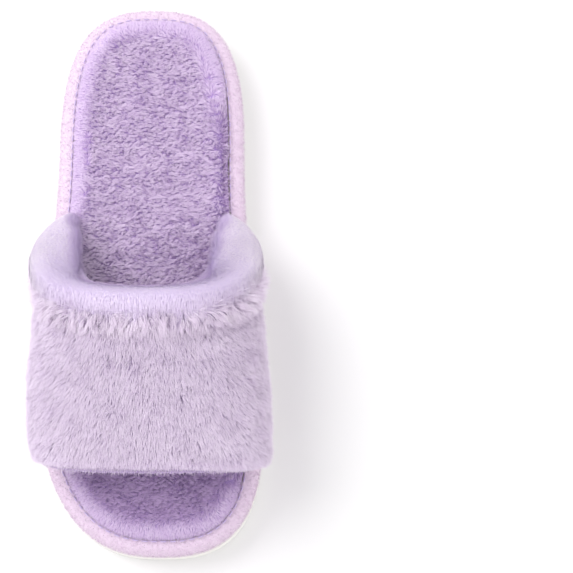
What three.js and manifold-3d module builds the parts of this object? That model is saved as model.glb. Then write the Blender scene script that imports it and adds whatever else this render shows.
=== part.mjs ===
// A right-foot house slipper: a slide with an open toe and heel and one broad furry band.
// Millimetres, +Z up. The toe points to -Y, the heel to +Y and the big-toe side to +X.
// The sole is slip-lasted: a fleece wrap is drawn round a foam platform and turned under it,
// and the band's edges are sewn between that wrap and the footbed cover.

import * as THREE from 'three';
import { mergeVertices } from 'three/addons/utils/BufferGeometryUtils.js';
import Module from 'manifold-3d';

const wasm = await Module();
wasm.setup();

// Plan of the sole
const soleLength = 268;
const heelWidth = 90;
const heelWidestY = 54;
const heelShift = -1;
const heelTipX = 0;
const heelSquareness = 3;
const lateralBallReach = 52.8;
const lateralBallY = -50;
const lateralToeSquareness = 2.35;
const medialBallReach = 54.2;
const medialBallY = -70;
const medialToeSquareness = 2.85;
const toeTipX = 4;
const stations = 56;

// Clearance between pieces that touch, and the sewing thread
const gap = 0.3;
const threadRadius = 0.45;
const threadSides = 5;
const threadEndGap = 1.5;
const threadLift = 2.4;
const frontThreadBack = 2.2;
const liningThreadSetback = 1;

// Sole, from the floor up
const outsoleThickness = 9.5;
const outsoleInset = 0.8;
const outsoleBevel = 1.8;
const grooveCount = 13;
const groovePitch = 18;
const grooveWidth = 5;
const grooveDepth = 2.2;
const grooveMargin = 9;
const wrapHeight = 14;
const wrapThickness = 1.8;
const wrapEdgeRadius = 6;
const wrapMargin = 14;
const fillerMargin = 1;
const seamInset = 7.4;
const padThickness = 4;
const padEdgeRadius = 2.4;
const coverThickness = 3.6;
const coverEdgeWidth = 9;
const dishDepth = 1;
const dishWidth = 12;

// Band: a front edge and a rear edge that both lean toward the toe as they rise
const bandFrontY = -88;
const bandBaseLength = 115;
const frontLean = 13;
const rearLean = 45;
const frontHeight = 69.5;
const rearHeight = 86;
const crownRise = 2.5;
const sideBulge = 8.5;
const widestHeight = 44;
const archSquareness = 2.5;
const archSteps = 14;
const bandBends = 6;
const kinkRise = 2;
const foldAngle = 50;

// Layers of the band, from the fur tips inward; they are pressed thin where they are sewn in
const furThickness = 6.5;
const bandFoamThickness = 2.5;
const liningThickness = 3.5;
const pressedShare = 0.25;
const pressedReach = 13;
const frontNoseWidth = 6.8;
const liningSetback = 3.5;

// Collar: a padded strip round the rear edge
const collarWidth = 15;
const collarPuff = 1.2;
const collarSkin = 4.2;
const collarRoundShare = 0.55;
const seamValley = 1.6;
const seamValleyWidth = 3;
const seamSlack = 0.4;

const outsoleTop = outsoleThickness;
const wrapBottom = outsoleTop + gap;
const wrapTop = wrapBottom + wrapHeight;
const platformBottom = wrapBottom + wrapThickness + gap;
const platformTop = wrapTop - wrapThickness - gap;
const platformInset = wrapThickness + gap;
const padBottom = platformTop + gap;
const padTop = padBottom + padThickness;
const coverTop = padTop + gap + coverThickness;
const coverInset = seamInset + gap;
const padInset = coverInset + coverThickness + gap;
const foamDepth = furThickness;
const liningDepth = foamDepth + bandFoamThickness;
const bandDepth = liningDepth + liningThickness;
const sewnWidth = bandDepth * pressedShare + 2 * gap;
const bandInset = seamInset - sewnWidth / 2;
const bandFoot = padBottom + gap;
const bandKink = wrapTop + kinkRise;
const seamBack = bandBaseLength - collarWidth;

const colours = {
  outsole: 0xf4f2ec,
  foam: 0xf1efe9,
  filler: 0xe4e0da,
  wrap: 0xf1dcf1,
  footbed: 0xb9a1d6,
  lining: 0xb79cd0,
  fur: 0xd6c6e6,
  collar: 0xdfd0f0,
  thread: 0xc9b4dd,
};

function piece(name, geometry, colour, roughness) {
  const material = new THREE.MeshStandardMaterial({ color: colour, roughness, metalness: 0 });
  const mesh = new THREE.Mesh(geometry, material);
  mesh.name = name;
  return mesh;
}

// A geometry from shared vertices and triangles, both given as flat lists.
function indexed(positions, indices) {
  const geometry = new THREE.BufferGeometry();
  geometry.setAttribute('position', new THREE.Float32BufferAttribute(positions, 3));
  geometry.setIndex(indices);
  geometry.computeVertexNormals();
  return geometry;
}

function solidOf(geometry) {
  return new wasm.Manifold(new wasm.Mesh({
    numProp: 3,
    vertProperties: new Float32Array(geometry.attributes.position.array),
    triVerts: new Uint32Array(geometry.index.array),
  }));
}

function geometryOf(solid) {
  const mesh = solid.getMesh();
  return indexed(Array.from(mesh.vertProperties), Array.from(mesh.triVerts));
}

function cut(geometry, ...tools) {
  let solid = solidOf(geometry);
  for (const tool of tools) {
    solid = solid.subtract(solidOf(tool));
  }
  return geometryOf(solid);
}

// ---------------------------------------------------------------- plan of the sole

// A quarter of a superellipse, from its side point to its tip or back again.
function superQuarter(centreX, centreY, reachX, reachY, squareness, fromTip) {
  const steps = 10;
  const points = [];
  for (let i = 0; i <= steps; i += 1) {
    const share = fromTip ? 1 - i / steps : i / steps;
    const angle = share * Math.PI / 2;
    const x = centreX + reachX * Math.abs(Math.cos(angle)) ** (2 / squareness);
    const y = centreY + reachY * Math.abs(Math.sin(angle)) ** (2 / squareness);
    points.push(new THREE.Vector2(x, y));
  }
  return points;
}

// Runs anticlockwise from the ball of the foot on the big-toe side, so that the heel
// and the toe are each one unbroken stretch of it.
function soleOutline() {
  const halfLength = soleLength / 2;
  const medialHeel = heelShift + heelWidth / 2;
  const lateralHeel = heelShift - heelWidth / 2;
  const heelReach = halfLength - heelWidestY;
  const shape = new THREE.Shape();
  const waistThird = (medialBallY - heelWidestY) / 3;
  shape.moveTo(medialBallReach, medialBallY);
  shape.bezierCurveTo(medialBallReach, medialBallY - waistThird, medialHeel,
    heelWidestY + waistThird, medialHeel, heelWidestY);
  shape.splineThru(superQuarter(heelTipX, heelWidestY, medialHeel - heelTipX, heelReach,
    heelSquareness, false).slice(1));
  shape.splineThru(superQuarter(heelTipX, heelWidestY, lateralHeel - heelTipX, heelReach,
    heelSquareness, true).slice(1));
  const outerThird = (heelWidestY - lateralBallY) / 3;
  shape.bezierCurveTo(lateralHeel, heelWidestY - outerThird, -lateralBallReach,
    lateralBallY + outerThird, -lateralBallReach, lateralBallY);
  shape.splineThru(superQuarter(toeTipX, lateralBallY, -lateralBallReach - toeTipX,
    -halfLength - lateralBallY, lateralToeSquareness, false).slice(1));
  shape.splineThru(superQuarter(toeTipX, medialBallY, medialBallReach - toeTipX,
    -halfLength - medialBallY, medialToeSquareness, true).slice(1));
  return shape.getSpacedPoints(stations).slice(0, stations);
}

const outline = soleOutline();

// The outline moved inward by the same distance everywhere, at one height.
function ring(inset, z) {
  return outline.map((point, i) => {
    const before = outline[(i + stations - 1) % stations];
    const after = outline[(i + 1) % stations];
    const along = after.clone().sub(before).normalize();
    return new THREE.Vector3(point.x - along.y * inset, point.y + along.x * inset, z);
  });
}

// Joins rings of equal length. A loop closes on its first ring; a stack gets a flat fan
// at its lowest and highest ring.
function ringSolid(profile, isLoop) {
  const positions = [];
  for (const [inset, z] of profile) {
    for (const point of ring(inset, z)) {
      positions.push(point.x, point.y, point.z);
    }
  }
  const indices = [];
  const bands = isLoop ? profile.length : profile.length - 1;
  for (let i = 0; i < bands; i += 1) {
    const low = i * stations;
    const high = ((i + 1) % profile.length) * stations;
    for (let j = 0; j < stations; j += 1) {
      const k = (j + 1) % stations;
      indices.push(low + j, low + k, high + k);
      indices.push(low + j, high + k, high + j);
    }
  }
  if (!isLoop) {
    const last = (profile.length - 1) * stations;
    const centre = positions.length / 3;
    positions.push(0, 0, profile[0][1]);
    positions.push(0, 0, profile[profile.length - 1][1]);
    for (let j = 0; j < stations; j += 1) {
      const k = (j + 1) % stations;
      indices.push(centre, k, j);
      indices.push(centre + 1, last + j, last + k);
    }
  }
  return indexed(positions, indices);
}

// A side wall with a round lower and upper edge, as [inset, z] points from the bottom up.
function roundedSide(inset, low, high, radius) {
  const steps = 3;
  const points = [];
  for (let i = 0; i <= steps; i += 1) {
    const angle = (i / steps) * Math.PI / 2;
    points.push([inset + radius * (1 - Math.sin(angle)), low + radius * (1 - Math.cos(angle))]);
  }
  for (let i = 0; i <= steps; i += 1) {
    const angle = (i / steps) * Math.PI / 2;
    points.push([inset + radius * (1 - Math.cos(angle)), high - radius * (1 - Math.sin(angle))]);
  }
  return points;
}

// ---------------------------------------------------------------- sole pieces

// A box from one corner to the other, as a closed shell of eight shared corners.
function boxBetween(low, high) {
  const box = new THREE.BoxGeometry(1, 1, 1);
  box.deleteAttribute('normal');
  box.deleteAttribute('uv');
  const shell = mergeVertices(box);
  shell.translate(0.5, 0.5, 0.5);
  shell.scale(high.x - low.x, high.y - low.y, high.z - low.z);
  shell.translate(low.x, low.y, low.z);
  return shell;
}

// A tread groove across the sole that stops short of both edges.
function grooveTool(index) {
  const y = (index - (grooveCount - 1) / 2) * groovePitch;
  const left = edgeX(grooveMargin, y, -1);
  const right = edgeX(grooveMargin, y, 1);
  return boxBetween(
    new THREE.Vector3(left, y - grooveWidth / 2, -grooveDepth),
    new THREE.Vector3(right, y + grooveWidth / 2, grooveDepth),
  );
}

function outsoleGeometry() {
  const body = ringSolid([
    [outsoleInset + outsoleBevel, 0],
    [outsoleInset, outsoleBevel],
    [outsoleInset, outsoleTop],
  ], false);
  const grooves = [];
  for (let i = 0; i < grooveCount; i += 1) {
    grooves.push(grooveTool(i));
  }
  return cut(body, ...grooves);
}

function fillerGeometry() {
  const inset = wrapMargin + fillerMargin;
  return ringSolid([[inset, wrapBottom], [inset, wrapBottom + wrapThickness]], false);
}

function platformGeometry() {
  const radius = wrapEdgeRadius - platformInset;
  return ringSolid(roundedSide(platformInset, platformBottom, platformTop, radius), false);
}

// A C-shaped skin: up the platform's side, over its edge to the seam, and under it.
function wrapGeometry() {
  const outside = roundedSide(0, wrapBottom, wrapTop, wrapEdgeRadius);
  const innerRadius = wrapEdgeRadius - wrapThickness;
  const inside = roundedSide(wrapThickness, wrapBottom + wrapThickness,
    wrapTop - wrapThickness, innerRadius);
  const skin = ringSolid([
    [wrapMargin, wrapBottom],
    ...outside,
    [seamInset, wrapTop],
    [seamInset, wrapTop - wrapThickness],
    ...inside.reverse(),
    [wrapMargin, wrapBottom + wrapThickness],
  ], true);
  return cut(skin, bandEnvelope());
}

function padGeometry() {
  const side = roundedSide(padInset, padBottom, padTop, padEdgeRadius);
  const flat = side.slice(4);
  return ringSolid([
    [padInset, padBottom],
    ...flat,
    [padInset + padEdgeRadius + dishWidth, padTop - dishDepth],
  ], false);
}

// The cover is a shallow upturned tray over the pad, with a full, rounded rim.
function coverGeometry() {
  const edgeRadius = coverTop - wrapTop;
  const outside = roundedSide(coverInset, padBottom, coverTop, edgeRadius).slice(4);
  const insideRadius = padEdgeRadius + gap;
  const inside = roundedSide(padInset - gap, padBottom, padTop + gap, insideRadius).slice(4);
  const dishStart = padInset + padEdgeRadius;
  const tray = ringSolid([
    [dishStart + dishWidth, padTop + gap - dishDepth],
    ...inside.reverse(),
    [padInset - gap, padBottom + gap],
    [coverInset, padBottom + gap],
    ...outside,
    [coverInset + coverEdgeWidth, coverTop],
    [dishStart + dishWidth, coverTop - dishDepth],
  ], false);
  return cut(tray, bandEnvelope());
}

// ---------------------------------------------------------------- band

// Where the sole's edge, moved inward, crosses one place along the sole.
function edgeX(inset, y, side) {
  const points = ring(inset, 0);
  for (let i = 0; i < stations; i += 1) {
    const a = points[i];
    const b = points[(i + 1) % stations];
    const crosses = (a.y - y) * (b.y - y) <= 0 && a.y !== b.y;
    if (crosses && Math.sign(a.x) === side) {
      return a.x + (b.x - a.x) * (y - a.y) / (b.y - a.y);
    }
  }
  return 0;
}

// One side of the arch above the seam: an arc out to the widest point, then a quarter of a
// superellipse to the middle.
function archSide(footX, topX, topZ, side) {
  const points = [new THREE.Vector2(footX, bandKink)];
  const arcSteps = 6;
  const arcStart = THREE.MathUtils.degToRad(foldAngle);
  const widestX = footX + side * sideBulge;
  for (let i = 1; i <= arcSteps; i += 1) {
    const angle = arcStart * (1 - i / arcSteps);
    const out = (1 - Math.cos(angle)) / (1 - Math.cos(arcStart));
    const down = Math.sin(angle) / Math.sin(arcStart);
    points.push(new THREE.Vector2(
      widestX - side * sideBulge * out,
      widestHeight - (widestHeight - bandKink) * down,
    ));
  }
  return points.concat(superQuarter(topX, widestHeight, widestX - topX,
    topZ - widestHeight, archSquareness, false).slice(1));
}

// The band's outer face at one place along it: points across the arch, each with its
// inward direction and with the share of the layers' full thickness that it has there.
// The first and last point are its feet, straight below the seam.
function archSection(back, footZ) {
  const share = back / bandBaseLength;
  const footY = bandFrontY + back;
  const topY = THREE.MathUtils.lerp(bandFrontY - frontLean,
    bandFrontY + bandBaseLength - rearLean, share);
  const topZ = THREE.MathUtils.lerp(frontHeight, rearHeight, share)
    + crownRise * 4 * share * (1 - share);
  const right = edgeX(bandInset, footY, 1);
  const left = edgeX(bandInset, footY, -1);
  const middle = (right + left) / 2;
  const across = new THREE.Path();
  const rightSide = archSide(right, middle, topZ, 1);
  const leftSide = archSide(left, middle, topZ, -1).reverse();
  across.setFromPoints([...rightSide, ...leftSide.slice(1)]);
  const flat = across.getSpacedPoints(archSteps * 2);
  const length = across.getLength();
  const feet = [new THREE.Vector2(right, footZ), new THREE.Vector2(left, footZ)];
  const line = [feet[0], ...flat, feet[1]];
  return line.map((point, i) => {
    const before = line[Math.max(i - 1, 0)];
    const after = line[Math.min(i + 1, line.length - 1)];
    const along = after.clone().sub(before).normalize();
    const isFoot = i === 0 || i === line.length - 1;
    const walked = (i - 1) / (flat.length - 1) * length;
    const fromFoot = isFoot ? 0 : Math.min(walked, length - walked);
    const swell = THREE.MathUtils.smoothstep(fromFoot, 0, pressedReach);
    const rise = (point.y - bandFoot) / (topZ - bandFoot);
    return {
      place: new THREE.Vector3(point.x, THREE.MathUtils.lerp(footY, topY, rise), point.y),
      inward: new THREE.Vector3(-along.y, 0, along.x),
      share: THREE.MathUtils.lerp(pressedShare, 1, swell),
    };
  });
}

// A line of points across the arch. Depth is measured inward from the fur tips and shrinks
// where the layers are pressed; offset is a further distance that never shrinks.
function rib(back, depth, offset, footZ = bandFoot) {
  return archSection(back, footZ).map(({ place, inward, share }) => (
    place.clone().addScaledVector(inward, depth * share + offset)));
}

// Sweeps a closed profile of [back, depth, offset] points across the arch, foot to foot. The
// profile runs to the rear along its inner side and to the front along its outer side.
function bandSolid(profile, footZ = bandFoot) {
  const ribs = profile.map(([back, depth, offset]) => rib(back, depth, offset, footZ));
  const count = ribs[0].length;
  const positions = ribs.flat().flatMap((point) => [point.x, point.y, point.z]);
  const indices = [];
  // Every facet is split from its front end the same way, so that layers stay parallel.
  for (let i = 0; i < ribs.length; i += 1) {
    const next = (i + 1) % ribs.length;
    const isRearward = profile[next][0] > profile[i][0];
    for (let j = 0; j < count - 1; j += 1) {
      const a = i * count + j;
      const b = next * count + j;
      if (isRearward) {
        indices.push(a, a + 1, b + 1, a, b + 1, b);
      } else {
        indices.push(a, a + 1, b, a + 1, b + 1, b);
      }
    }
  }
  // Both feet are flat and face down.
  for (const foot of [0, count - 1]) {
    const flat = ribs.map((points) => new THREE.Vector2(points[foot].x, points[foot].y));
    for (const [a, b, c] of THREE.ShapeUtils.triangulateShape(flat, [])) {
      const turn = flat[b].clone().sub(flat[a]).cross(flat[c].clone().sub(flat[a]));
      const [second, third] = turn < 0 ? [b, c] : [c, b];
      indices.push(a * count + foot, second * count + foot, third * count + foot);
    }
  }
  return indexed(positions, indices);
}

// The places along the band where every long piece is bent to follow the sole's edge.
function between(from, to) {
  const places = [];
  for (let i = 1; i < bandBends; i += 1) {
    const back = seamBack * i / bandBends;
    if (back > from + 1 && back < to - 1) {
      places.push(back);
    }
  }
  return places;
}

// The room that the sewn edges need in the wrap and in the footbed cover.
function bandEnvelope() {
  const collarMiddle = seamBack + collarWidth / 2;
  const places = [-gap, frontNoseWidth / 2, frontNoseWidth, ...between(frontNoseWidth, seamBack),
    seamBack, collarMiddle, bandBaseLength + 3 * gap];
  return bandSolid([
    ...places.map((back) => [back, bandDepth + collarPuff, 3 * gap]),
    ...places.toReversed().map((back) => [back, -collarPuff, -gap]),
  ], platformTop + gap / 2);
}

// The fur fabric is turned round the foam's front end in a full, rounded nose.
function outerGeometry() {
  const noseRadius = (liningDepth + gap) / 2;
  const nose = [];
  const steps = 5;
  for (let i = 0; i <= steps; i += 1) {
    const angle = (i / steps) * Math.PI;
    nose.push([noseRadius * (1 - Math.sin(angle)), noseRadius * (1 - Math.cos(angle)), 0]);
  }
  const middle = between(frontNoseWidth, seamBack - seamValleyWidth);
  return bandSolid([
    [seamBack - seamSlack, seamValley, 0],
    [seamBack - seamValleyWidth, 0, 0],
    ...middle.toReversed().map((back) => [back, 0, 0]),
    ...nose,
    [frontNoseWidth, liningDepth, gap],
    [frontNoseWidth, foamDepth, 0],
    ...middle.map((back) => [back, foamDepth, 0]),
    [seamBack - seamSlack, foamDepth, 0],
  ]);
}

function layerGeometry(front, rear, from, to, offset) {
  const middle = between(front, rear);
  return bandSolid([
    [rear, from, offset],
    ...middle.toReversed().map((back) => [back, from, offset]),
    [front, from, offset],
    [front, to, offset],
    ...middle.map((back) => [back, to, offset]),
    [rear, to, offset],
  ]);
}

// Half of a rounded D that bulges to the rear, from its outer arm to its inner arm.
function collarArc(skin) {
  const steps = 6;
  const reachBack = collarWidth * collarRoundShare - skin;
  const reachDepth = bandDepth / 2 + collarPuff - skin;
  const centreBack = bandBaseLength - collarWidth * collarRoundShare;
  const points = [];
  for (let i = 0; i <= steps; i += 1) {
    const angle = (i / steps) * Math.PI;
    points.push([
      centreBack + reachBack * Math.sin(angle),
      bandDepth / 2 - reachDepth * Math.cos(angle),
      gap * (i / steps) * 2,
    ]);
  }
  return points;
}

function collarStripGeometry() {
  const start = seamBack + seamSlack;
  const outside = collarArc(0);
  const inside = collarArc(collarSkin);
  return bandSolid([
    [start, seamValley, 0],
    ...outside,
    [start, bandDepth, 2 * gap],
    [start, bandDepth + collarPuff - collarSkin, 2 * gap],
    ...inside.reverse(),
    [start, collarSkin - collarPuff, 0],
  ].reverse());
}

function collarPaddingGeometry() {
  const start = seamBack + 2 * seamSlack;
  const skin = collarSkin + gap / pressedShare;
  return bandSolid([
    [start, skin - collarPuff, 0],
    ...collarArc(skin),
    [start, bandDepth + collarPuff - skin, 2 * gap],
  ].reverse());
}

// ---------------------------------------------------------------- threads

function threadAlong(points, steps) {
  const section = new THREE.Shape();
  for (let i = 0; i < threadSides; i += 1) {
    const angle = (i / threadSides) * Math.PI * 2;
    const corner = [threadRadius * Math.cos(angle), threadRadius * Math.sin(angle)];
    if (i === 0) {
      section.moveTo(...corner);
    } else {
      section.lineTo(...corner);
    }
  }
  section.closePath();
  const path = new THREE.CatmullRomCurve3(points);
  return new THREE.ExtrudeGeometry(section, { steps, extrudePath: path, curveSegments: 1 });
}

// Sewing along the band follows one rib and stops just above what it would run into.
function bandThread(back, depth, offset, floorZ) {
  const clear = floorZ + threadLift * threadRadius + gap;
  const points = rib(back, depth, offset).filter((point) => point.z > clear);
  return threadAlong(points, 34);
}

function footbedThread(isWanted, steps) {
  const inset = coverInset - gap - threadRadius;
  const points = ring(inset, wrapTop + gap + threadRadius).filter(isWanted);
  return threadAlong(points, steps);
}

function bandFootThread(side) {
  const points = [];
  const steps = 12;
  const inset = bandInset - gap - threadRadius - collarPuff * pressedShare;
  for (let i = 0; i <= steps; i += 1) {
    const y = bandFrontY + bandBaseLength * i / steps;
    points.push(new THREE.Vector3(edgeX(inset, y, side), y, wrapTop + gap + threadRadius));
  }
  return threadAlong(points, 20);
}

// ---------------------------------------------------------------- the slipper

function sole() {
  const group = new THREE.Group();
  const bandRearY = bandFrontY + bandBaseLength;
  group.add(piece('outsole', outsoleGeometry(), colours.outsole, 0.75));
  group.add(piece('bottom_filler', fillerGeometry(), colours.filler, 0.9));
  group.add(piece('platform_foam', platformGeometry(), colours.foam, 0.85));
  group.add(piece('platform_wrap', wrapGeometry(), colours.wrap, 0.95));
  group.add(piece('memory_foam_pad', padGeometry(), colours.foam, 0.9));
  group.add(piece('footbed_cover', coverGeometry(), colours.footbed, 1));
  group.add(piece('footbed_thread_heel',
    footbedThread((point) => point.y > bandRearY + threadEndGap, 34), colours.thread, 0.8));
  group.add(piece('footbed_thread_toe',
    footbedThread((point) => point.y < bandFrontY - threadEndGap, 24), colours.thread, 0.8));
  return group;
}

function band() {
  const group = new THREE.Group();
  group.add(piece('upper_outer', outerGeometry(), colours.fur, 1));
  group.add(piece('upper_foam', layerGeometry(frontNoseWidth + 2 * gap, seamBack - seamSlack,
    foamDepth, liningDepth, gap), colours.foam, 0.9));
  group.add(piece('upper_lining', layerGeometry(liningSetback, seamBack - seamSlack,
    liningDepth, bandDepth, 2 * gap), colours.lining, 1));
  group.add(piece('collar_strip', collarStripGeometry(), colours.collar, 1));
  group.add(piece('collar_padding', collarPaddingGeometry(), colours.foam, 0.9));
  group.add(piece('collar_seam_thread',
    bandThread(seamBack, seamValley, -1.5 * gap - threadRadius, wrapTop), colours.thread, 0.8));
  group.add(piece('collar_lining_thread', bandThread(seamBack - liningThreadSetback, bandDepth,
    5 * gap + threadRadius, coverTop), colours.thread, 0.8));
  group.add(piece('front_edge_thread',
    bandThread(frontThreadBack, liningDepth, gap * 2 + threadRadius, coverTop), colours.thread, 0.8));
  group.add(piece('upper_thread_lateral', bandFootThread(-1), colours.thread, 0.8));
  group.add(piece('upper_thread_medial', bandFootThread(1), colours.thread, 0.8));
  return group;
}

const group = new THREE.Group();
group.add(sole());
group.add(band());

export default group;
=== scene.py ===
import functools
import math

import bmesh
import bpy
from mathutils import Matrix, Vector, kdtree, noise


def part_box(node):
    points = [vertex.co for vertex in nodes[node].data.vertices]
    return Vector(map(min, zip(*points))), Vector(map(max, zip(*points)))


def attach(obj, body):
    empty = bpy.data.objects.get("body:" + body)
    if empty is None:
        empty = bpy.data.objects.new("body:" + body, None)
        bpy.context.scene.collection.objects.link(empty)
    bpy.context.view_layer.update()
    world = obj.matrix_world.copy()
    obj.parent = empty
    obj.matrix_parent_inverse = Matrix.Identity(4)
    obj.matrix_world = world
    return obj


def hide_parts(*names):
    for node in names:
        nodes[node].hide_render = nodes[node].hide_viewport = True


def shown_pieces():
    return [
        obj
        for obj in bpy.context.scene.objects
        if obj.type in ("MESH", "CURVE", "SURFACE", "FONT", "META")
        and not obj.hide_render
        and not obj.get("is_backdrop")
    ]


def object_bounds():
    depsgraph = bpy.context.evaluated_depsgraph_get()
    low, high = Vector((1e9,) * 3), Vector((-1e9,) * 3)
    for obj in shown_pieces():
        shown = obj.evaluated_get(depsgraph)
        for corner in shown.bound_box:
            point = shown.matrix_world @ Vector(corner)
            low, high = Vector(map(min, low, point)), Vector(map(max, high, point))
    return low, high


# A right-foot house slipper: a furry band and collar over a curly plush footbed.
# Metres, +Z up, the toe points to -Y and the big-toe side is +X, as in the frame.
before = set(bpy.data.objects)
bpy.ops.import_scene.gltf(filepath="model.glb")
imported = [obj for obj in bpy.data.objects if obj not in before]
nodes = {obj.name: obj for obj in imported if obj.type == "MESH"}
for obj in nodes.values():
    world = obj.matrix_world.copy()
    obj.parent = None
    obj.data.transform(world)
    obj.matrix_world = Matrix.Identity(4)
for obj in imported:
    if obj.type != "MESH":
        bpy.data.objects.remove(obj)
cadLow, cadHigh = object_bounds()
scene = bpy.context.scene
mm = 0.001


def linear(code):
    parts = [int(code[i:i + 2], 16) / 255 for i in (1, 3, 5)]
    return [p / 12.92 if p <= 0.04045 else ((p + 0.055) / 1.055) ** 2.4 for p in parts] + [1]


# Adds one node; an input is given a value or linked from another node's output.
def addNode(tree, kind, settings, inputs):
    node = tree.nodes.new(kind)
    for name, value in settings.items():
        setattr(node, name, value)
    for name, value in inputs.items():
        if isinstance(value, bpy.types.NodeSocket):
            tree.links.new(value, node.inputs[name])
        else:
            node.inputs[name].default_value = value
    return node.outputs


# Every surface here is matt: cloth, thread, foam, board or paper. All scatter light, none is glossy.
def newMaterial(name, roughness, sheen):
    material = bpy.data.materials.new(name)
    material.use_nodes = True
    shader = material.node_tree.nodes["Principled BSDF"]
    shader.inputs["Roughness"].default_value = roughness
    shader.inputs["Sheen Weight"].default_value = sheen
    shader.inputs["Sheen Roughness"].default_value = 0.5
    shader.inputs["Specular IOR Level"].default_value = 0.2
    return material, material.node_tree, shader


strandShare = 0.94  # of the width of a pile's UV map; its backing has the rest


# Acrylic pile yarn: darker at the root, a painted shade for the depth of the pile, and pale at the tip,
# no two fibres alike, with the soft light rim of a brushed cloth.
def pileMaterial(name, colours, sheen):
    material, tree, shader = newMaterial(name, 0.85, sheen)
    strand = addNode(tree, "ShaderNodeUVMap", {"uv_map": "OFBake"}, {})["UV"]
    parts = addNode(tree, "ShaderNodeSeparateXYZ", {}, {"Vector": strand})
    shade = addNode(tree, "ShaderNodeMapRange", {},
                    {"Value": parts["X"], "From Min": 0.0, "From Max": strandShare})["Result"]
    tip = addNode(tree, "ShaderNodeMix", {"data_type": "RGBA"},
                  {"Factor": shade, 6: linear(colours["dull"]), 7: linear(colours["bright"])})[2]
    height = addNode(tree, "ShaderNodeMapRange", {"interpolation_type": "SMOOTHSTEP"},
                     {"Value": parts["Y"], "From Min": 0.0, "From Max": colours["depth"]})["Result"]
    # Toward the root the colour goes to the darker root colour: painted shade of the pile's depth.
    colour = addNode(tree, "ShaderNodeMix", {"data_type": "RGBA"},
                     {"Factor": height, 6: linear(colours["root"]), 7: tip})[2]
    tree.links.new(colour, shader.inputs["Base Color"])
    return material


# Knit, foam, board and thread: one colour, broken up by a grain of a real size.
def grainMaterial(name, dark, light, grain, roughness, sheen):
    material, tree, shader = newMaterial(name, roughness, sheen)
    place = addNode(tree, "ShaderNodeTexCoord", {}, {})["Object"]
    speckle = addNode(tree, "ShaderNodeTexNoise", {},
                      {"Vector": place, "Scale": 1 / grain, "Detail": 3.0, "Roughness": 0.6})[0]
    colour = addNode(tree, "ShaderNodeMix", {"data_type": "RGBA"},
                     {"Factor": speckle, 6: linear(dark), 7: linear(light)})[2]
    bump = addNode(tree, "ShaderNodeBump", {},
                   {"Height": speckle, "Strength": 0.3, "Distance": 0.3 * mm})
    tree.links.new(colour, shader.inputs["Base Color"])
    tree.links.new(bump["Normal"], shader.inputs["Normal"])
    return material


# What one coat of pile can be told; lengths in metres, density in fibres per square metre.
# A real fibre is some 0.03 mm wide, too fine to show, so these are drawn coarser and fewer.
pileInputs = {
    "Density": 2e6, "Length": 6 * mm, "Width": 0.25 * mm, "Uneven": 0.2, "Stiffness": 0.4,
    "Tuft": 3 * mm, "Gather": 0.5, "Swirl": 0.0, "Tilt": 0.3, "Drift": 12 * mm, "Wave": 0.3,
    "Stray": 0.1, "Twist": 0.2, "Mottle": 6 * mm, "Patches": 0.5, "Seed": 1.0,
}

# What a backing's vertices carry: whether fibres grow, which way they lie, how far and how pale.
backingFields = {"grow": "FLOAT", "lay": "FLOAT_VECTOR", "reach": "FLOAT", "tone": "FLOAT"}

# The form of one fibre: how flat it can lie, how late it leans into its tuft, how it thins to
# the tip, how much its shade is left to chance, and the width that its faces have in the map.
fibre = {"flattest": 0.97, "gatherCurve": 1.5, "taper": 0.8, "taperCurve": 2.0, "luck": 0.1,
         "mapWidth": 0.01}


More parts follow.
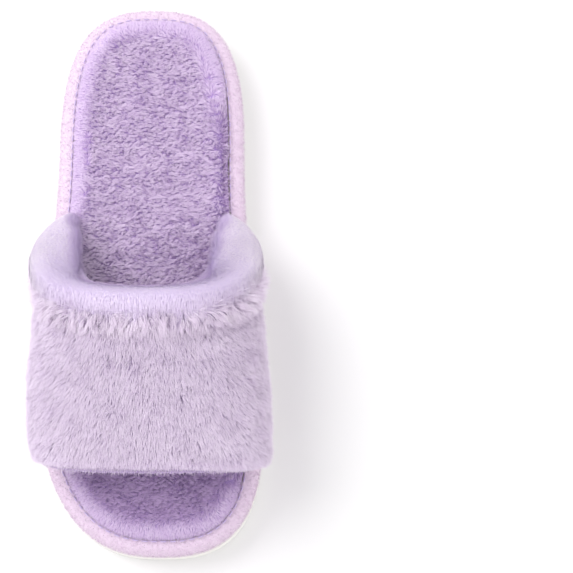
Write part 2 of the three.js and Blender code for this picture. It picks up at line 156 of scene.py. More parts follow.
# Grows fibres out of a backing, from what its vertices carry.
def pileGroup(name, segments):
    tree = bpy.data.node_groups.new(name, "GeometryNodeTree")
    sockets = tree.interface
    sockets.new_socket("Geometry", in_out="INPUT", socket_type="NodeSocketGeometry")
    for label in pileInputs:
        sockets.new_socket(label, in_out="INPUT", socket_type="NodeSocketFloat")
    sockets.new_socket("Fibre", in_out="INPUT", socket_type="NodeSocketMaterial")
    sockets.new_socket("Geometry", in_out="OUTPUT", socket_type="NodeSocketGeometry")
    given = tree.nodes.new("NodeGroupInput").outputs
    add = functools.partial(addNode, tree)
    number, vector, named = "ShaderNodeMath", "ShaderNodeVectorMath", "GeometryNodeInputNamedAttribute"
    plus, minus, times, over, power, least, scale, dot, cross, unit = (
        {"operation": word} for word in ("ADD", "SUBTRACT", "MULTIPLY", "DIVIDE", "POWER", "MINIMUM",
                                         "SCALE", "DOT_PRODUCT", "CROSS_PRODUCT", "NORMALIZE"))
    backing = {label: add(named, {"data_type": kind}, {"Name": label})[0]
               for label, kind in backingFields.items()}
    place = add("GeometryNodeInputPosition", {}, {})[0]

    density = add(number, times, {0: given["Density"], 1: backing["grow"]})[0]
    scattered = add("GeometryNodeDistributePointsOnFaces", {},
                    {"Mesh": given["Geometry"], "Seed": given["Seed"], "Density": density})
    up = scattered["Normal"]
    chance = add("FunctionNodeRandomValue", {"data_type": "FLOAT_VECTOR"},
                 {0: (-1, -1, -1), 1: (1, 1, 1), "Seed": 3})[0]
    luck = add("FunctionNodeRandomValue", {"data_type": "FLOAT"}, {2: -1.0, 3: 1.0, "Seed": 8})[1]

    # Tufts: fibres lean to the middle of their cell. Long ones gather and stray more than short ones.
    fine = add(number, over, {0: 1.0, 1: given["Tuft"]})[0]
    cell = add("ShaderNodeTexVoronoi", {}, {"Vector": place, "Scale": fine})
    inward = add(vector, minus, {0: cell["Position"], 1: place})[0]
    above = add(vector, scale, {0: up, "Scale": add(vector, dot, {0: inward, 1: up})[1]})[0]
    inward = add(vector, minus, {0: inward, 1: above})[0]
    unruly = add(number, power, {0: backing["reach"], 1: 2.0})[0]
    gather = add(number, times, {0: given["Gather"], 1: unruly})[0]
    pulled = add(vector, scale, {0: inward, "Scale": gather})[0]
    sideways = add(vector, cross, {0: up, 1: inward})[0]
    swirled = add(vector, scale, {0: sideways, "Scale": given["Swirl"]})[0]
    gathered = add(vector, plus, {0: pulled, 1: swirled})[0]

    # The way a fibre lies: its backing's, then its tuft's own lean, a slow drift and chance.
    tilt = add(number, times, {0: given["Tilt"], 1: unruly})[0]
    lean = add(vector, minus, {0: cell["Color"], 1: (0.5, 0.5, 0.5)})[0]
    lean = add(vector, scale, {0: lean, "Scale": tilt})[0]
    slow = add(number, over, {0: 1.0, 1: given["Drift"]})[0]
    drift = add("ShaderNodeTexNoise", {}, {"Vector": place, "Scale": slow, "Detail": 2.0})["Color"]
    drift = add(vector, minus, {0: drift, 1: (0.5, 0.5, 0.5)})[0]
    wave = add(number, times, {0: given["Wave"], 1: unruly})[0]
    drift = add(vector, scale, {0: drift, "Scale": wave})[0]
    stray = add(vector, scale, {0: chance, "Scale": given["Stray"]})[0]
    way = backing["lay"]
    for push in (lean, drift, stray):
        way = add(vector, plus, {0: way, 1: push})[0]
    above = add(vector, scale, {0: up, "Scale": add(vector, dot, {0: way, 1: up})[1]})[0]
    way = add(vector, minus, {0: way, 1: above})[0]
    twist = add(vector, scale, {0: chance, "Scale": given["Twist"]})[0]
    side = add(vector, plus, {0: add(vector, cross, {0: up, 1: way})[0], 1: twist})[0]
    side = add(vector, unit, {0: side})[0]
    uneven = add(number, times, {0: luck, 1: given["Uneven"]})[0]
    uneven = add(number, plus, {0: 1.0, 1: uneven})[0]
    long = add(number, times, {0: given["Length"], 1: backing["reach"]})[0]
    long = add(number, times, {0: long, 1: uneven})[0]

    # Shade: the tone given on the backing, which holds some painted light and shade, soft patches, and a
    # little chance for every fibre.
    coarse = add(number, over, {0: 1.0, 1: given["Mottle"]})[0]
    patch = add("ShaderNodeTexNoise", {}, {"Vector": place, "Scale": coarse, "Detail": 3.0})[0]
    patch = add(number, minus, {0: patch, 1: 0.5})[0]
    patch = add(number, times, {0: patch, 1: given["Patches"]})[0]
    shade = add(number, plus, {0: backing["tone"], 1: patch})[0]
    shade = add(number, plus, {0: shade, 1: add(number, times, {0: luck, 1: fibre["luck"]})[0]})[0]

    points = scattered["Points"]
    kept = {"root": place, "up": up, "way": way, "side": side, "gathered": gathered,
            "long": long, "shade": shade}
    kinds = {label: "FLOAT" if label in ("long", "shade") else "FLOAT_VECTOR" for label in kept}
    for label, value in kept.items():
        points = add("GeometryNodeStoreNamedAttribute", {"data_type": kinds[label], "domain": "POINT"},
                     {"Geometry": points, "Name": label, "Value": value})[0]
    blade = add("GeometryNodeMeshGrid", {},
                {"Size X": 1.0, "Size Y": 1.0, "Vertices X": 2, "Vertices Y": segments + 1})["Mesh"]
    coat = add("GeometryNodeInstanceOnPoints", {}, {"Points": points, "Instance": blade})[0]
    coat = add("GeometryNodeRealizeInstances", {}, {"Geometry": coat})[0]

    # Each unit blade is bent into its fibre: up from the root, then over the way it lies.
    own = {label: add(named, {"data_type": kinds[label]}, {"Name": label})[0] for label in kept}
    local = add(vector, minus, {0: place, 1: own["root"]})[0]
    local = add("ShaderNodeSeparateXYZ", {}, {"Vector": local})
    along = add(number, plus, {0: local["Y"], 1: 0.5})[0]
    flatness = add(vector, {"operation": "LENGTH"}, {0: own["way"]})[1]
    flatness = add(number, least, {0: flatness, 1: fibre["flattest"]})[0]
    slope = add(number, times, {0: flatness, 1: math.pi / 2})[0]
    supple = add(number, minus, {0: 1.0, 1: given["Stiffness"]})[0]
    supple = add(number, times, {0: supple, 1: along})[0]
    bend = add(number, plus, {0: given["Stiffness"], 1: supple})[0]
    slope = add(number, times, {0: slope, 1: bend})[0]
    travel = add(number, times, {0: along, 1: own["long"]})[0]
    spot = own["root"]
    for operation, heading in (("COSINE", own["up"]), ("SINE", add(vector, unit, {0: own["way"]})[0])):
        share = add(number, {"operation": operation}, {0: slope})[0]
        share = add(number, times, {0: travel, 1: share})[0]
        step = add(vector, scale, {0: heading, "Scale": share})[0]
        spot = add(vector, plus, {0: spot, 1: step})[0]
    late = add(number, power, {0: along, 1: fibre["gatherCurve"]})[0]
    step = add(vector, scale, {0: own["gathered"], "Scale": late})[0]
    spot = add(vector, plus, {0: spot, 1: step})[0]
    thin = add(number, power, {0: along, 1: fibre["taperCurve"]})[0]
    thin = add(number, times, {0: thin, 1: fibre["taper"]})[0]
    thin = add(number, minus, {0: 1.0, 1: thin})[0]
    across = add(number, times, {0: local["X"], 1: given["Width"]})[0]
    across = add(number, times, {0: across, 1: thin})[0]
    step = add(vector, scale, {0: own["side"], "Scale": across})[0]
    spot = add(vector, plus, {0: spot, 1: step})[0]

    shade = add(number, times, {0: local["X"], 1: fibre["mapWidth"]})[0]
    shade = add(number, plus, {0: own["shade"], 1: shade})[0]
    shade = add("ShaderNodeClamp", {}, {"Value": shade, "Min": 0.0, "Max": 1.0})[0]
    shade = add(number, times, {0: shade, 1: strandShare})[0]
    mark = add("ShaderNodeCombineXYZ", {}, {"X": shade, "Y": along})[0]
    coat = add("GeometryNodeStoreNamedAttribute", {"data_type": "FLOAT2", "domain": "CORNER"},
               {"Geometry": coat, "Name": "OFBake", "Value": mark})[0]
    coat = add("GeometryNodeSetPosition", {}, {"Geometry": coat, "Position": spot})[0]
    coat = add("GeometryNodeSetMaterial", {}, {"Geometry": coat, "Material": given["Fibre"]})[0]
    for label in kept:
        coat = add("GeometryNodeRemoveAttribute", {}, {"Geometry": coat, "Name": label})[0]
    both = add("GeometryNodeJoinGeometry", {}, {})[0]
    for part in (given["Geometry"], coat):
        tree.links.new(part, both.node.inputs[0])
    tree.links.new(both, tree.nodes.new("NodeGroupOutput").inputs[0])
    return tree


shortPile = pileGroup("short_pile", 2)
longPile = pileGroup("long_pile", 3)


def addPile(piece, group, settings, material):
    coat = piece.modifiers.new("pile", "NODES")
    coat.node_group = group
    for item in group.interface.items_tree:
        if item.in_out == "INPUT" and item.name in pileInputs:
            coat[item.identifier] = float(settings.get(item.name, pileInputs[item.name]))
        elif item.name == "Fibre":
            coat[item.identifier] = material


merging = {"distance": 0.01 * mm, "flat": math.radians(20), "skew": math.radians(40)}


# A merged copy of a CAD node, with its long facets squared up and rounded off.
def roundedCopy(node, name, levels):
    mesh = nodes[node].data.copy()
    mesh.name = name
    mesh.materials.clear()
    shape = bmesh.new()
    shape.from_mesh(mesh)
    bmesh.ops.remove_doubles(shape, verts=shape.verts, dist=merging["distance"])
    bmesh.ops.join_triangles(shape, faces=shape.faces, angle_face_threshold=merging["flat"],
                             angle_shape_threshold=merging["skew"])
    bmesh.ops.recalc_face_normals(shape, faces=shape.faces)
    shape.to_mesh(mesh)
    shape.free()
    piece = bpy.data.objects.new(name, mesh)
    scene.collection.objects.link(piece)
    if levels:
        smooth = piece.modifiers.new("round", "SUBSURF")
        smooth.levels = smooth.render_levels = levels
    return piece


# Replaces a piece's mesh by what its modifiers make of it.
def settle(piece):
    held = piece.data
    piece.data = bpy.data.meshes.new_from_object(
        piece.evaluated_get(bpy.context.evaluated_depsgraph_get()))
    piece.modifiers.clear()
    bpy.data.meshes.remove(held)
    piece.data.name = piece.name
    piece.data.shade_smooth()


# A copy of one or more touching pieces as a single skin of even small faces.
def gridCopy(sources, name, voxel, passes):
    piece = roundedCopy(sources[0], name, 0)
    shape = bmesh.new()
    shape.from_mesh(piece.data)
    for node in sources[1:]:
        shape.from_mesh(nodes[node].data)
    shape.to_mesh(piece.data)
    shape.free()
    grid = piece.modifiers.new("grid", "REMESH")
    grid.mode = "VOXEL"
    grid.voxel_size = voxel
    even = piece.modifiers.new("even", "SMOOTH")
    even.factor = 0.5
    even.iterations = passes
    settle(piece)
    return piece


# Evens out a mesh by so many rounds of smoothing.
def relax(piece, passes):
    shape = bmesh.new()
    shape.from_mesh(piece.data)
    for step in range(passes):
        bmesh.ops.smooth_vert(shape, verts=shape.verts, factor=0.5,
                              use_axis_x=True, use_axis_y=True, use_axis_z=True)
    shape.to_mesh(piece.data)
    shape.free()
    piece.data.update()


# How a backing is laid out in the strip of its map that the fibres leave free: seen from above,
# slanted so that its walls have some width too.
backingMap = {"slantX": 0.37, "slantY": 0.29, "startX": -60 * mm, "startY": -140 * mm,
              "width": 160 * mm, "length": 310 * mm}


# Gives every vertex its pile from one rule: (grow, lay, reach, tone, sink) at a place and normal.
# The backing is sunk that far below the fibre tips where they grow.
def combed(piece, rule, passes=0):
    mesh = piece.data
    for label, kind in backingFields.items():
        mesh.attributes.new(label, kind, "POINT")
    flat = mesh.uv_layers.new(name="OFBake").data
    for loop in mesh.loops:
        spot = mesh.vertices[loop.vertex_index].co
        u = (spot.x + backingMap["slantX"] * spot.z - backingMap["startX"]) / backingMap["width"]
        v = (spot.y + backingMap["slantY"] * spot.z - backingMap["startY"]) / backingMap["length"]
        flat[loop.index].uv = (strandShare + (1 - strandShare) * u, v)
    layers = {label: mesh.attributes[label].data for label in backingFields}
    moved = []
    for i, vertex in enumerate(mesh.vertices):
        grow, lay, reach, tone, sink = rule(vertex.co, vertex.normal)
        layers["grow"][i].value = grow
        layers["lay"][i].vector = lay
        layers["reach"][i].value = reach
        layers["tone"][i].value = tone
        moved.append(vertex.co - vertex.normal * sink * min(grow, 1.0))
    for vertex, spot in zip(mesh.vertices, moved):
        vertex.co = spot
    relax(piece, passes)


# A smooth step from 0 at low to 1 at high.
def ramp(value, low, high):
    share = max(0.0, min(1.0, (value - low) / (high - low)))
    return share * share * (3 - 2 * share)


def dress(piece, node, material):
    piece.data.materials.clear()
    piece.data.materials.append(material)
    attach(piece, "root")
    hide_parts(node)


archAxis = Vector((0.5 * mm, 0, 35 * mm))


# How far a normal faces away from the line that the band is arched over.
def facing(place, normal):
    out = Vector((place.x - archAxis.x, 0, place.z - archAxis.z))
    return normal.dot(out.normalized()) if out.length > 1e-6 else 0.0


# Band: dense short faux fur that lies toward the toe and down the sides.
band = {
    "Density": 6.5e6, "Length": 4.4 * mm, "Width": 0.22 * mm, "Tuft": 2.2 * mm, "Gather": 0.17,
    "Tilt": 0.16, "Drift": 8 * mm, "Wave": 0.5, "Stray": 0.12, "Twist": 0.12, "Mottle": 7 * mm,
    "Patches": 0.8, "Stiffness": 0.6, "Uneven": 0.14, "Seed": 1.0,
    "lie": 0.52, "splay": 0.35, "halfWidth": 50 * mm, "sink": 2.9 * mm,
    "dents": 0.7 * mm, "dentSize": 11 * mm, "frontDent": 0.6 * mm,
    "seamSwell": 1.6 * mm, "medialSwell": 1.8 * mm,
    "feet": (24 * mm, 34 * mm), "flanks": (25 * mm, 52 * mm), "bigToeFlank": (20 * mm, 50 * mm),
    "seamFringe": (-12 * mm, -4 * mm),
    "colours": {"root": "#d9c8e2", "dull": "#e4d5eb", "bright": "#f5eaf8", "depth": 0.6},
}
seamLow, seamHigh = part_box("collar_seam_thread")


# How far a place is behind the seam between the band and the collar, which leans as it rises.
def behindSeam(place):
    share = (place.z - seamLow.z) / (seamHigh.z - seamLow.z)
    return place.y - (seamHigh.y + (seamLow.y - seamHigh.y) * share)


# Short at the front edge and at the feet, long where it meets the collar, and paler there: painted light
# that lifts the shade under the collar's fringe.
def bandRule(place, normal):
    out = facing(place, normal)
    grow = ramp(out + max(0.0, -normal.y) * 0.9, 0.1, 0.5)
    down = 0.25 + 0.5 * ramp(abs(place.x), *band["flanks"])
    lay = Vector((band["splay"] * place.x / band["halfWidth"], -1.0, -down)).normalized() * band["lie"]
    low = ramp(place.z, *band["feet"])
    front = ramp(-normal.y, 0.2, 0.7)
    nearSeam = ramp(behindSeam(place), *band["seamFringe"])
    reach = (0.6 + 0.4 * low) * (1 - 0.55 * front) * (1 + 0.7 * nearSeam)
    dent = band["dents"] * noise.noise(place / band["dentSize"]) + band["frontDent"] * front
    medial = ramp(place.x, *band["bigToeFlank"])
    swell = band["seamSwell"] * nearSeam + band["medialSwell"] * medial
    # Tone: 0.4 paler by the seam, painted light.
    return grow, lay * (1 - 0.4 * front), reach, 0.5 + 0.4 * nearSeam, band["sink"] + dent - swell


print("band fur")
bandFur = roundedCopy("upper_outer", "band_fur", 3)
settle(bandFur)
combed(bandFur, bandRule, 2)
# Dense cut pile: the band reads as soft rabbit-like fur that parts into small tufts.
bandPile = pileMaterial("faux_fur_rabbit_pile", band["colours"], 0.25)
addPile(bandFur, shortPile, band, bandPile)
# The knit that the fur is rooted in: a deeper lilac, painted shade that shows only between the tufts.
bandKnit = grainMaterial("faux_fur_knit_backing", "#a78ec0", "#bda5d4", 1.2 * mm, 0.95, 0)
dress(bandFur, "upper_outer", bandKnit)

# Collar: the same fur, brushed smooth over the padding and out over the seam.
collar = {
    "Density": 8.5e6, "Length": 4 * mm, "Width": 0.26 * mm, "Tuft": 3.2 * mm, "Gather": 0.09,
    "Tilt": 0.05, "Drift": 12 * mm, "Wave": 0.2, "Stray": 0.1, "Twist": 0.05, "Mottle": 12 * mm,
    "Patches": 0.3, "Stiffness": 0.65, "Uneven": 0.16, "Seed": 5.0,
    "splay": 0.7, "halfWidth": 50 * mm, "forward": 2 * mm,
    "sink": 2.4 * mm, "swell": 3.2 * mm, "innerSwell": 4.5 * mm, "sideSwell": 2.2 * mm,
    "feet": (22 * mm, 27 * mm), "seamFringe": (0, 4.5 * mm), "crest": (3 * mm, 8 * mm),
    "lowCorners": (48 * mm, 78 * mm), "forwardRise": (25 * mm, 50 * mm),
    "colours": {"root": "#e4d3f6", "dull": "#e7d7f4", "bright": "#fcf3ff", "depth": 0.6},
}


# Long over the crest and the seam, short behind and inside; painted light on its low sides, and painted
# shade on their inner face, where the band's lining is shaded.
def collarRule(place, normal):
    radial = Vector((place.x - archAxis.x, 0, place.z - archAxis.z)).normalized()
    along = Vector((radial.z, 0, -radial.x))
    out = normal.dot(radial)
    over = along.cross(normal)
    behind = behindSeam(place)
    grow = ramp(out + max(0.0, normal.y) * 1.2, -0.9, -0.6) * ramp(place.z, *collar["feet"])
    nearSeam = (1 - ramp(behind, *collar["seamFringe"])) * ramp(out, 0.0, 0.4)
    rear = ramp(normal.y + max(0.0, -out), -0.2, 0.5)
    brushed = 1 - ramp(behind, *collar["crest"]) * rear
    low = 1 - ramp(place.z, *collar["lowCorners"])
    lined = ramp(-out, 0.1, 0.6) * low
    splay = Vector((collar["splay"] * nearSeam * place.x / collar["halfWidth"], 0, 0))
    lay = (over + splay) * (0.85 - 0.1 * brushed + 0.1 * nearSeam - 0.3 * lined)
    reach = (0.42 + 0.58 * brushed + 0.25 * lined) * (1 + 1.7 * nearSeam)
    inner = ramp(-out, -0.3, 0.5)
    swell = collar["swell"] + collar["innerSwell"] * low * inner + collar["sideSwell"] * low * (1 - inner)
    # Tone: painted light low on the sides, painted shade on their inner face.
    tone = 0.3 + 0.8 * low - 0.1 * nearSeam - 1.1 * lined
    return grow, lay, reach, tone, collar["sink"] * (0.4 + 0.6 * brushed) - swell


print("collar fur")
collarFur = gridCopy(["collar_strip", "collar_padding"], "collar_fur", 1.2 * mm, 16)
combed(collarFur, collarRule, 4)
for vertex in collarFur.data.vertices:
    vertex.co.y -= collar["forward"] * ramp(vertex.co.z, *collar["forwardRise"])
# Longer brushed pile: a smooth pale roll, with a fringe that falls over the seam.
collarPile = pileMaterial("faux_fur_brushed_pile", collar["colours"], 0.25)
addPile(collarFur, longPile, collar, collarPile)
# Its knit is nearly as pale as the fur, so the short pile behind doesn't look bare.
collarKnit = grainMaterial("faux_fur_collar_backing", "#e6daf5", "#eee5fb", 1.2 * mm, 0.95, 0)
dress(collarFur, "collar_strip", collarKnit)

# Lining: short plush on the band's inner side.
lining = {
    "Density": 1.6e6, "Length": 4 * mm, "Width": 0.35 * mm, "Tuft": 2.5 * mm, "Gather": 0.5,
    "Tilt": 0.5, "Wave": 0.6, "Stray": 0.25, "Mottle": 5 * mm, "Stiffness": 0.5, "Seed": 9.0,
    "lie": 0.5, "sink": 1.6 * mm, "footSwell": 5 * mm,
    "feet": (27 * mm, 30 * mm), "lowCorners": (40 * mm, 66 * mm), "rearPart": (-60 * mm, -8 * mm),
    "colours": {"root": "#b79fd4", "dull": "#dac6ee", "bright": "#f4eafc", "depth": 0.8},
}


# Lies back and down; it bulges inward at its low rear corners.
def liningRule(place, normal):
    grow = ramp(-facing(place, normal), 0.2, 0.6) * ramp(place.z, *lining["feet"])
    lay = Vector((0, 0.5, -0.6)).normalized() * lining["lie"]
    low = 1 - ramp(place.z, *lining["lowCorners"])
    rear = ramp(behindSeam(place), *lining["rearPart"])
    return grow, lay, 1.0, 0.5, lining["sink"] - lining["footSwell"] * low * rear


print("lining plush")
liningPlush = roundedCopy("upper_lining", "band_lining", 2)
settle(liningPlush)
combed(liningPlush, liningRule, 4)
# Loose plush: the shaded inside of the band looks deep and woolly.
liningPile = pileMaterial("plush_lining_pile", lining["colours"], 0.2)
addPile(liningPlush, shortPile, lining, liningPile)
# A dark lilac knit that gives the shade between the loose fibres.
liningKnit = grainMaterial("plush_lining_knit", "#9479b6", "#a88fca", 1 * mm, 0.95, 0)
dress(liningPlush, "upper_lining", liningKnit)

# Footbed: curly plush whose tufts twist together; it is combed outward along its free borders.
footbed = {
    "Density": 7.5e6, "Length": 3.1 * mm, "Width": 0.24 * mm, "Tuft": 1.3 * mm, "Gather": 0.42,
    "Swirl": 0.35, "Tilt": 0.5, "Drift": 7 * mm, "Wave": 0.7, "Stray": 0.1, "Twist": 0.15,
    "Mottle": 5 * mm, "Stiffness": 0.5, "Uneven": 0.12, "Seed": 12.0,
    "sink": 2.0 * mm, "lie": -2.78, "skirt": (22.6 * mm, 23.6 * mm), "border": (4 * mm, 11 * mm),
    "heelEnd": (60 * mm, 100 * mm), "smallToeSide": (5 * mm, 30 * mm), "toeEnd": (85 * mm, 110 * mm),
    "toeShade": (60 * mm, 85 * mm),
    "colours": {"root": "#d7bbe5", "dull": "#ddc2ec", "bright": "#fcf0ff", "depth": 0.65},
}


# Full and tufted in the middle, short and combed in the border, with painted shade toward the toe, under
# the band.
def footbedRule(place, normal):
    grow = ramp(normal.z, -0.3, 0.2) * ramp(place.z, *footbed["skirt"])
    near, index, gap = rim.find((place.x, place.y, 0))
    heelEnd = ramp(place.y, *footbed["heelEnd"])
    smallToeSide = ramp(-place.x, *footbed["smallToeSide"])
    toeEnd = ramp(-place.y, *footbed["toeEnd"])
    smooth = max(0.0, heelEnd, smallToeSide, toeEnd) * (1 - ramp(gap, *footbed["border"]))
    outward = near - Vector((place.x, place.y, 0))
    outward = outward.normalized() if gap > 0.5 * mm else Vector((normal.x, normal.y, 0))
    # The lay turns sideways from the middle's to the border's, the way round that leaves no parting.
    turn = math.atan2(outward.y, outward.x) - footbed["lie"] - (2 * math.pi if outward.y > 0 else 0)
    heading = footbed["lie"] + turn * smooth
    lay = Vector((math.cos(heading), math.sin(heading), 0)) * (0.45 + 0.3 * smooth)
    reach = 1.0 - 0.42 * smooth
    # Painted shade toward the toe, where the band covers the footbed.
    toeShade = ramp(-place.y, *footbed["toeShade"])
    tone = 0.5 - 0.15 * smooth - 0.5 * toeShade * (1 - smooth)
    return grow, lay, reach, tone, footbed["sink"] * reach


print("footbed plush")
footbedPlush = gridCopy(["footbed_cover"], "footbed_plush", 1.5 * mm, 4)
edge = [vertex.co for vertex in footbedPlush.data.vertices if abs(vertex.normal.z) < 0.4]
rim = kdtree.KDTree(len(edge))
for i, spot in enumerate(edge):
    rim.insert((spot.x, spot.y, 0), i)
rim.balance()
combed(footbedPlush, footbedRule)
# Curly plush: fine swirled tufts, a nubby look beside the smooth fur.
footbedPile = pileMaterial("curly_plush_pile", footbed["colours"], 0.25)
addPile(footbedPlush, shortPile, footbed, footbedPile)
# Its knit is the shade at the bottom of the curls.
footbedKnit = grainMaterial("curly_plush_knit", "#ab90c8", "#bda4d8", 1 * mm, 0.95, 0)
dress(footbedPlush, "footbed_cover", footbedKnit)

# Wrap: thin fleece with a fine fuzz, drawn round the platform.
wrap = {
    "Density": 3e6, "Length": 1.2 * mm, "Width": 0.2 * mm, "Tuft": 1 * mm, "Gather": 0.25,
    "Tilt": 0.4, "Wave": 0.5, "Stray": 0.4, "Mottle": 5 * mm, "Stiffness": 0.5, "Seed": 17.0,
    "halfSpine": 70 * mm, "sink": 0.7 * mm, "bare": 0.5 * mm, "full": 2 * mm,
    "colours": {"root": "#e0d0e0", "dull": "#e5d6e5", "bright": "#f0e5ef", "depth": 0.8},
}
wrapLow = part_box("platform_wrap")[0]


# Grows on the outer face and the top, away from a spine along the middle of the sole.
def wrapRule(place, normal):
    middle = Vector((0, max(-wrap["halfSpine"], min(wrap["halfSpine"], place.y)), place.z))
    out = (place - middle).normalized()
    aboveSole = ramp(place.z, wrapLow.z + wrap["bare"], wrapLow.z + wrap["full"])
    grow = ramp(normal.dot(out) + max(0.0, normal.z), 0.2, 0.6) * aboveSole
    return grow, Vector((0, 0, 0)), 1.0, 0.5, wrap["sink"]


print("fleece wrap")
fleeceWrap = roundedCopy("platform_wrap", "fleece_wrap", 1)
settle(fleeceWrap)
combed(fleeceWrap, wrapRule)
# A short upright fuzz that softens the outline of the wrap.
wrapFuzz = pileMaterial("fleece_fuzz", wrap["colours"], 0.2)
addPile(fleeceWrap, shortPile, wrap, wrapFuzz)
# Brushed knit: a pale pink, warmer than the lilac above it.
wrapKnit = grainMaterial("fleece_knit", "#e6cfe6", "#f0dff0", 0.8 * mm, 0.95, 0.2)
dress(fleeceWrap, "platform_wrap", wrapKnit)

print("foams")
# Open-cell foam: off-white and dull, the pores drawn a little coarser than real ones.
foamLook = grainMaterial("open_cell_foam", "#e2ddd0", "#f2eee4", 0.6 * mm, 0.9, 0)
insides = {"platform_foam": ("platform_foam_block", 1), "memory_foam_pad": ("memory_foam_sheet", 1),
           "upper_foam": ("band_foam", 1), "collar_padding": ("collar_roll", 2)}
for node, (name, levels) in insides.items():
    inside = roundedCopy(node, name, levels)
    settle(inside)
    dress(inside, node, foamLook)
# Pressed fibre board: a dry, mottled buff, as cut from a sheet.
boardLook = grainMaterial("pressed_fibre_board", "#cfc6b4", "#e0d9c9", 1 * mm, 0.95, 0)
filler = nodes["bottom_filler"]
filler.data.materials.clear()
filler.data.materials.append(boardLook)

# Stitches along the CAD's continuous threads, arched over the cloth. A CAD thread has five sides.
stitch = {"pitch": 4.4 * mm, "length": 3 * mm, "radius": 0.36 * mm, "sides": 8, "rings": 6,
          "arch": 0.05 * mm, "threadSides": 5}


# The middle line of a thread node. Its rings are told apart by the angle seen from a centre.
def threadLine(node, centre, plane):
    shape = bmesh.new()
    shape.from_mesh(nodes[node].data)
    bmesh.ops.remove_doubles(shape, verts=shape.verts, dist=0.001 * mm)
    u, v = plane
    spots = []
    for vertex in shape.verts:
        angle = math.atan2(vertex.co[v] - centre[v], vertex.co[u] - centre[u])
        spots.append((angle, vertex.co.copy()))
    shape.free()
    spots.sort()
    sides = stitch["threadSides"]
    rings = [spots[i:i + sides] for i in range(0, len(spots) - sides + 1, sides)]
    return [sum((co for angle, co in ring), Vector()) / sides for ring in rings]


# Points at even steps along a line of points.
def evenly(line, step):
    spots, left = [], 0.0
    for a, b in zip(line, line[1:]):
        span = (b - a).length
        while left < span:
            spots.append(a.lerp(b, left / span))
            left += step
        left -= span
    return spots


# A row of plump stitches, each lying along its thread's line.
def sewn(node, centre, plane, up, material):
    shape = bmesh.new()
    spots = evenly(threadLine(node, centre, plane), stitch["pitch"])
    for here, there in zip(spots, spots[1:]):
        along = (there - here).normalized()
        side = along.cross(up(here)).normalized()
        facings = Matrix((side, side.cross(along), along)).transposed().to_4x4()
        lift = side.cross(along) * stitch["arch"]
        size = Matrix.Diagonal((stitch["radius"], stitch["radius"], stitch["length"] / 2, 1))
        place = Matrix.Translation(here + along * (stitch["length"] / 2) + lift)
        bmesh.ops.create_uvsphere(shape, u_segments=stitch["sides"], v_segments=stitch["rings"],
                                  radius=1.0, matrix=place @ facings @ size)
    bmesh.ops.recalc_face_normals(shape, faces=shape.faces)
    mesh = bpy.data.meshes.new(node + "_stitches")
    shape.to_mesh(mesh)
    shape.free()
    mesh.shade_smooth()
    piece = bpy.data.objects.new(mesh.name, mesh)
    scene.collection.objects.link(piece)
    dress(piece, node, material)


def upward(place):
    return Vector((0, 0, 1))


def awayFromAxis(place):
    return Vector((place.x - archAxis.x, 0, place.z - archAxis.z)).normalized()


def towardAxis(place):
    return -awayFromAxis(place)


print("stitches")
# Spun polyester: a dull lilac thread, a shade paler than the knit that it is sunk in.
threadLook = grainMaterial("spun_polyester_thread", "#c3aeda", "#d6c5e8", 0.5 * mm, 0.7, 0.3)
for node, centre, plane, up in (
        ("footbed_thread_heel", (0, 50 * mm, 0), (1, 0), upward),
        ("footbed_thread_toe", (0, -60 * mm, 0), (0, 1), upward),
        ("upper_thread_lateral", (1, -30 * mm, 0), (0, 1), upward),
        ("upper_thread_medial", (-1, -30 * mm, 0), (0, 1), upward),
        ("collar_seam_thread", archAxis, (0, 2), awayFromAxis),
        ("collar_lining_thread", archAxis, (0, 2), towardAxis),
        ("front_edge_thread", archAxis, (0, 2), towardAxis)):
    sewn(node, centre, plane, up, threadLook)

# Moulded foam rubber: clean, faintly warm white, with the fine grain of its mould.
soleLook = grainMaterial("moulded_eva_foam", "#f3f1ea", "#fbfaf6", 0.7 * mm, 0.7, 0)
sole = {
    "outlineSteps": 4, "bottomBevel": 1.8 * mm, "topBevel": 0.5 * mm, "rimReach": 30 * mm,
    "grooveFloor": (2 * mm, 2.5 * mm), "grooveSpan": 8 * mm, "cutterHeight": 4.4 * mm,
    "grooveRound": 1.5 * mm, "sharpAngle": math.radians(35),
}


# The same closed loop of points with more of them, through a Catmull-Rom curve.
def finer(loop, steps):
    count = len(loop)
    points = []
    for i in range(count):
        a, b, c, d = (loop[(i + k) % count] for k in (-1, 0, 1, 2))
        for k in range(steps):
            t = k / steps
            points.append(0.5 * (2 * b + (c - a) * t + (2 * a - 5 * b + 4 * c - d) * t * t
                                 + (3 * b - 3 * c + d - a) * t ** 3))
    return points


print("outsole")
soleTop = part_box("outsole")[1].z
corners = [vertex.co for vertex in nodes["outsole"].data.vertices]
rimTop = {(round(p.x, 6), round(p.y, 6)) for p in corners
          if p.z > soleTop - 0.1 * mm and p.length > sole["rimReach"]}
outline = sorted(rimTop, key=lambda spot: math.atan2(spot[1], spot[0]))
outline = finer([Vector((x, y, 0)) for x, y in outline], sole["outlineSteps"])
shape = bmesh.new()
base = shape.faces.new([shape.verts.new(p) for p in outline])
raised = bmesh.ops.extrude_face_region(shape, geom=[base])["geom"]
lifted = [part for part in raised if isinstance(part, bmesh.types.BMVert)]
bmesh.ops.translate(shape, verts=lifted, vec=(0, 0, soleTop))
bmesh.ops.recalc_face_normals(shape, faces=shape.faces)
for level, size, steps in ((0, sole["bottomBevel"], 4), (soleTop, sole["topBevel"], 2)):
    around = [e for e in shape.edges if all(abs(v.co.z - level) < 0.01 * mm for v in e.verts)]
    bmesh.ops.bevel(shape, geom=around, offset=size, segments=steps, profile=0.5,
                    affect="EDGES", material=-1)
mesh = bpy.data.meshes.new("moulded_outsole")
shape.to_mesh(mesh)
shape.free()
outsole = bpy.data.objects.new("moulded_outsole", mesh)
scene.collection.objects.link(outsole)

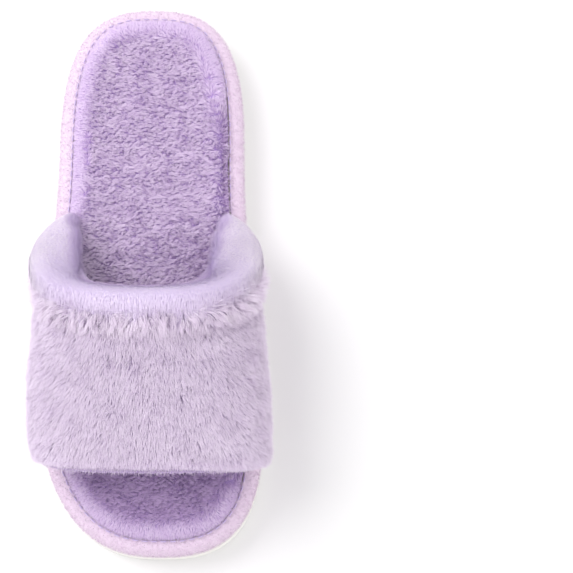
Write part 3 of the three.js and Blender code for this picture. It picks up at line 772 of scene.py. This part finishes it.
# The tread's cross grooves are cut where the CAD ones are.
shallow, deepest = sole["grooveFloor"]
floors = sorted({(round(p.y, 5), round(p.x, 5)) for p in corners if shallow < p.z < deepest})
grooves = bmesh.new()
while floors:
    group = [spot for spot in floors if spot[0] < floors[0][0] + sole["grooveSpan"]]
    floors = floors[len(group):]
    rows = [spot[0] for spot in group]
    columns = [spot[1] for spot in group]
    size = (max(columns) - min(columns), max(rows) - min(rows), sole["cutterHeight"])
    middle = Vector(((max(columns) + min(columns)) / 2, (max(rows) + min(rows)) / 2, 0))
    bmesh.ops.create_cube(grooves, size=1.0,
                          matrix=Matrix.Translation(middle) @ Matrix.Diagonal((*size, 1)))
upright = [e for e in grooves.edges if abs(e.verts[0].co.z - e.verts[1].co.z) > 1 * mm]
bmesh.ops.bevel(grooves, geom=upright, offset=sole["grooveRound"], segments=3, profile=0.5,
                affect="EDGES", material=-1)
grooveMesh = bpy.data.meshes.new("tread_cutter")
grooves.to_mesh(grooveMesh)
grooves.free()
cutter = bpy.data.objects.new("tread_cutter", grooveMesh)
scene.collection.objects.link(cutter)
cut = outsole.modifiers.new("tread", "BOOLEAN")
cut.object = cutter
cut.solver = "EXACT"
settle(outsole)
bpy.data.objects.remove(cutter)
outsole.data.set_sharp_from_angle(angle=sole["sharpAngle"])
dress(outsole, "outsole", soleLook)

print("room")
# A white studio: a bright even sky, a broad key light from the left rear and a weak fill.
room = {
    "floor": "#f3f2f3", "floorSize": 12.0, "skyStrength": 0.88, "sky": "#ffffff",
    "keyPlace": (-0.8, 0.4, 1.2), "keySize": 1.2, "keyPower": 13.2,
    "fillPlace": (0.9, -0.4, 1.1), "fillSize": 1.4, "fillPower": 2.5,
}
floorMesh = bpy.data.meshes.new("floor")
shape = bmesh.new()
bmesh.ops.create_grid(shape, x_segments=1, y_segments=1, size=room["floorSize"])
shape.to_mesh(floorMesh)
shape.free()
floor = bpy.data.objects.new("floor", floorMesh)
scene.collection.objects.link(floor)
floor.location.z = -0.1 * mm
# Matt paper: takes the soft shadow and shows no gloss.
floorLook, floorTree, floorShader = newMaterial("studio_paper", 0.95, 0)
floorShader.inputs["Base Color"].default_value = linear(room["floor"])
floorMesh.materials.append(floorLook)
floor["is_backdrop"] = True

world = bpy.data.worlds.new("studio")
world.use_nodes = True
sky = world.node_tree.nodes["Background"]
sky.inputs["Color"].default_value = linear(room["sky"])
sky.inputs["Strength"].default_value = room["skyStrength"]
scene.world = world
aim = (cadLow + cadHigh) / 2
for label in ("key", "fill"):
    lamp = bpy.data.lights.new(label, "AREA")
    lamp.shape = "DISK"
    lamp.size = room[label + "Size"]
    lamp.energy = room[label + "Power"]
    light = bpy.data.objects.new(label, lamp)
    light.location = room[label + "Place"]
    light.rotation_euler = (aim - light.location).to_track_quat("-Z", "Y").to_euler()
    scene.collection.objects.link(light)

# A long lens, high in front of the toe; elevation and roll in degrees.
lens = {"elevation": 78, "distance": 1.088, "focal": 143.3, "roll": 0.35,
        "target": (0.0645, -0.0046, 0.020)}
cameraData = bpy.data.cameras.new("camera")
cameraData.lens = lens["focal"]
cameraData.sensor_width = 36
camera = bpy.data.objects.new("camera", cameraData)
scene.collection.objects.link(camera)
rise = math.radians(lens["elevation"])
back = Vector((0, -math.cos(rise), math.sin(rise)))
camera.location = Vector(lens["target"]) + back * lens["distance"]
roll = Matrix.Rotation(math.radians(lens["roll"]), 3, "Z")
camera.rotation_euler = ((-back).to_track_quat("-Z", "Y").to_matrix() @ roll).to_euler()
scene.camera = camera
scene.view_settings.view_transform = "Standard"

print("size")
shown = bpy.context.evaluated_depsgraph_get()
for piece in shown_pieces():
    print(piece.name, sum(len(face.vertices) - 2 for face in piece.evaluated_get(shown).data.polygons))
